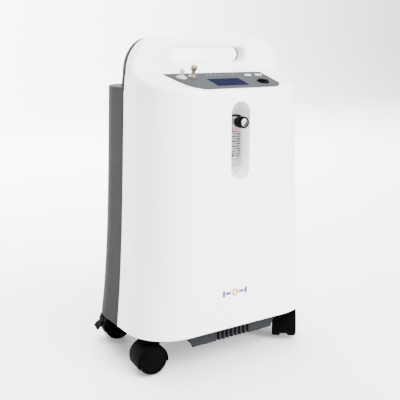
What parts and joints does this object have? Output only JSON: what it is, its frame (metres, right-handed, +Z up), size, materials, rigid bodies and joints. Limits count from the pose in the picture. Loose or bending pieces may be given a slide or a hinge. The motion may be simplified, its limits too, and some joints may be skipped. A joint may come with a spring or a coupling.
{
  "type": "oxygen concentrator",
  "caption": "Free-standing home oxygen concentrator with a carrying handle, sloping control panel, flowmeter recess and four swivel casters.",
  "frame": {"origin": "floor under the middle of the machine's bounding box", "axes": "+Z up, -Y towards the front with the flowmeter, +X to the right when seen from the front"},
  "size_m": [0.3787, 0.2644, 0.5825],
  "materials": {
    "white_shell": "smooth moulded off-white plastic, satin gloss",
    "grey_shell": "fine-textured dark grey moulded plastic",
    "panel_grey": "grey printed membrane overlay, slight gloss",
    "lcd_blue": "dark blue display window",
    "tray_grey": "dark grey moulded plastic",
    "black_plastic": "black moulded plastic",
    "tread_rubber": "black polyurethane tread",
    "nickel": "nickel-plated brass",
    "clear_plastic": "clear moulded acrylic",
    "steel": "zinc-plated steel",
    "aluminium": "cast aluminium",
    "copper": null,
    "board_green": "green circuit board with dark components",
    "foam": "open-cell filter foam",
    "silicone": "translucent silicone hose"
  },
  "bodies": {
    "chassis": {"base_tray": "tray_grey", "breaker_body": "black_plastic", "compressor_body": "aluminium", "control_panel": "panel_grey", "cylinder_head_left": "aluminium", "cylinder_head_right": "aluminium", "exhaust_fan_frame": "black_plastic", "flow_valve_bonnet": "nickel", "flowmeter_body": "clear_plastic", "front_cover": "white_shell", "front_left_stem": "steel", "front_right_stem": "steel", "heat_exchanger_coil": "copper", "intake_silencer": "black_plastic", "lcd_window": "lcd_blue", "main_board": "board_green", "meter_inlet": "nickel", "mid_shelf": "grey_shell", "nebuliser_outlet": "clear_plastic", "oxygen_hose": "silicone", "oxygen_outlet": "nickel", "power_inlet": "black_plastic", "product_tank": "aluminium", "rear_cover": "grey_shell", "rear_left_stem": "steel", "rear_right_stem": "steel", "recess_tub": "white_shell", "rocker_bezel": "black_plastic", "sieve_bed_left": "aluminium", "sieve_bed_right": "aluminium", "valve_manifold": "aluminium"},
    "rocker": {"power_rocker": "black_plastic"},
    "button_left_body": {"button_left": "white_shell"},
    "button_right_body": {"button_right": "white_shell"},
    "knob": {"flow_knob": "black_plastic", "valve_stem": "steel"},
    "float": {"float_ball": "black_plastic"},
    "door": {"filter_door": "grey_shell", "filter_foam": "foam"},
    "reset": {"breaker_button": "white_shell"},
    "shaft": {"compressor_shaft": "steel"},
    "fan": {"exhaust_fan_rotor": "black_plastic"},
    "front_left_caster": {"front_left_hood": "black_plastic", "front_left_axle": "steel"},
    "front_left_roller_left": {"front_left_wheel_left": "tread_rubber"},
    "front_left_roller_right": {"front_left_wheel_right": "tread_rubber"},
    "front_right_caster": {"front_right_hood": "black_plastic", "front_right_axle": "steel"},
    "front_right_roller_left": {"front_right_wheel_left": "tread_rubber"},
    "front_right_roller_right": {"front_right_wheel_right": "tread_rubber"},
    "rear_left_caster": {"rear_left_hood": "black_plastic", "rear_left_axle": "steel"},
    "rear_left_roller_left": {"rear_left_wheel_left": "tread_rubber"},
    "rear_left_roller_right": {"rear_left_wheel_right": "tread_rubber"},
    "rear_left_lever": {"rear_left_brake": "black_plastic"},
    "rear_right_caster": {"rear_right_hood": "black_plastic", "rear_right_axle": "steel"},
    "rear_right_roller_left": {"rear_right_wheel_left": "tread_rubber"},
    "rear_right_roller_right": {"rear_right_wheel_right": "tread_rubber"},
    "rear_right_lever": {"rear_right_brake": "black_plastic"}
  },
  "joints": [
    {"name": "rocker_tip", "type": "hinge", "parent": "chassis", "child": "rocker", "pos_m": [0.0665, -0.0932, 0.50492], "axis": [1, 0, 0], "range_deg": [0, 16]},
    {"name": "button_left_press", "type": "slide", "parent": "chassis", "child": "button_left_body", "axis": [0, 0.2656, -0.9641], "range_m": [0, 0.001], "stiffness_N_per_m": 300, "springref_m": -0.0005},
    {"name": "button_right_press", "type": "slide", "parent": "chassis", "child": "button_right_body", "axis": [0, 0.2656, -0.9641], "range_m": [0, 0.001], "stiffness_N_per_m": 300, "springref_m": -0.0005},
    {"name": "knob_turn", "type": "hinge", "parent": "chassis", "child": "knob", "pos_m": [0, -0.1, 0.4405], "axis": [0, -1, 0], "range_deg": [0, 720]},
    {"name": "float_rise", "type": "slide", "parent": "chassis", "child": "float", "axis": [0, 0, 1], "range_m": [0, 0.043]},
    {"name": "door_off", "type": "slide", "parent": "chassis", "child": "door", "axis": [0, 1, 0], "range_m": [0, 0.06]},
    {"name": "reset_press", "type": "slide", "parent": "chassis", "child": "reset", "axis": [0, -1, 0], "range_m": [0, 0.003], "stiffness_N_per_m": 300, "springref_m": -0.0005},
    {"name": "shaft_spin", "type": "hinge", "parent": "chassis", "child": "shaft", "pos_m": [-0.02, 0.012, 0.118], "axis": [1, 0, 0], "continuous": true},
    {"name": "fan_spin", "type": "hinge", "parent": "chassis", "child": "fan", "pos_m": [0.092, 0.01, 0.1739], "axis": [0, 0, 1], "continuous": true},
    {"name": "front_left_swivel", "type": "hinge", "parent": "chassis", "child": "front_left_caster", "pos_m": [-0.15, -0.069, 0.055], "axis": [0, 0, 1], "continuous": true},
    {"name": "front_left_roll_left", "type": "hinge", "parent": "front_left_caster", "child": "front_left_roller_left", "pos_m": [-0.15993, -0.06783, 0.0262], "axis": [0.117, 0.9931, 0], "continuous": true},
    {"name": "front_left_roll_right", "type": "hinge", "parent": "front_left_caster", "child": "front_left_roller_right", "pos_m": [-0.15993, -0.06783, 0.0262], "axis": [0.117, 0.9931, 0], "continuous": true},
    {"name": "front_right_swivel", "type": "hinge", "parent": "chassis", "child": "front_right_caster", "pos_m": [0.15, -0.069, 0.055], "axis": [0, 0, 1], "continuous": true},
    {"name": "front_right_roll_left", "type": "hinge", "parent": "front_right_caster", "child": "front_right_roller_left", "pos_m": [0.1439, -0.07692, 0.0262], "axis": [-0.7923, 0.6102, 0], "continuous": true},
    {"name": "front_right_roll_right", "type": "hinge", "parent": "front_right_caster", "child": "front_right_roller_right", "pos_m": [0.1439, -0.07692, 0.0262], "axis": [-0.7923, 0.6102, 0], "continuous": true},
    {"name": "rear_left_swivel", "type": "hinge", "parent": "chassis", "child": "rear_left_caster", "pos_m": [-0.13, 0.103, 0.055], "axis": [0, 0, 1], "continuous": true},
    {"name": "rear_left_roll_left", "type": "hinge", "parent": "rear_left_caster", "child": "rear_left_roller_left", "pos_m": [-0.13977, 0.10512, 0.0262], "axis": [0.2121, 0.9773, 0], "continuous": true},
    {"name": "rear_left_roll_right", "type": "hinge", "parent": "rear_left_caster", "child": "rear_left_roller_right", "pos_m": [-0.13977, 0.10512, 0.0262], "axis": [0.2121, 0.9773, 0], "continuous": true},
    {"name": "rear_left_brake_press", "type": "hinge", "parent": "rear_left_caster", "child": "rear_left_lever", "pos_m": [-0.16596, 0.1108, 0.0367], "axis": [-0.2121, -0.9773, 0], "range_deg": [0, 8]},
    {"name": "rear_right_swivel", "type": "hinge", "parent": "chassis", "child": "rear_right_caster", "pos_m": [0.13, 0.103, 0.055], "axis": [0, 0, 1], "continuous": true},
    {"name": "rear_right_roll_left", "type": "hinge", "parent": "rear_right_caster", "child": "rear_right_roller_left", "pos_m": [0.136, 0.095, 0.0262], "axis": [-0.8, -0.6, 0], "continuous": true},
    {"name": "rear_right_roll_right", "type": "hinge", "parent": "rear_right_caster", "child": "rear_right_roller_right", "pos_m": [0.136, 0.095, 0.0262], "axis": [-0.8, -0.6, 0], "continuous": true},
    {"name": "rear_right_brake_press", "type": "hinge", "parent": "rear_right_caster", "child": "rear_right_lever", "pos_m": [0.15208, 0.07356, 0.0367], "axis": [0.8, 0.6, 0], "range_deg": [0, 8]}
  ]
}
